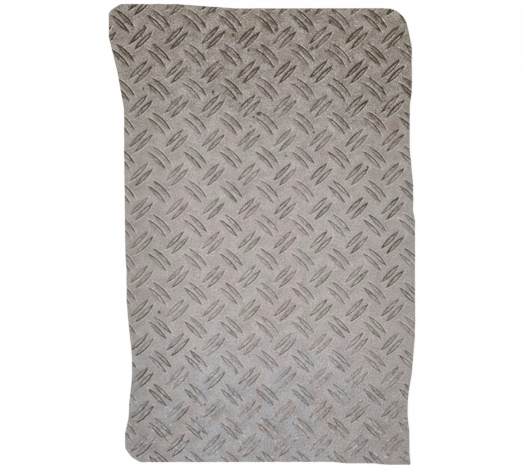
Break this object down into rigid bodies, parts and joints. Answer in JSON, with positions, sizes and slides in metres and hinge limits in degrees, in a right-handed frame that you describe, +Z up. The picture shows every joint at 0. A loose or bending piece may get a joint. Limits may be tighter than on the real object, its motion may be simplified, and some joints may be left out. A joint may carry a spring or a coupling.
{
  "type": "checker steel plate",
  "caption": "Hand-cut rectangular offcut of hot-rolled steel plate with a raised tread of paired lens-shaped bars in alternating directions, for anti-slip floors, treads and covers.",
  "frame": {"origin": "middle of the underside's bounding rectangle, on the floor that the plate lies on", "axes": "+Y along the plate's length, +Z up out of the tread"},
  "size_m": [0.341, 0.515, 0.006],
  "materials": {
    "hot_rolled_steel": "weathered hot-rolled steel, dull grey with brownish dirt and dark grime along the bars"
  },
  "bodies": {
    "root": {"checker_plate": "hot_rolled_steel"}
  },
  "joints": []
}
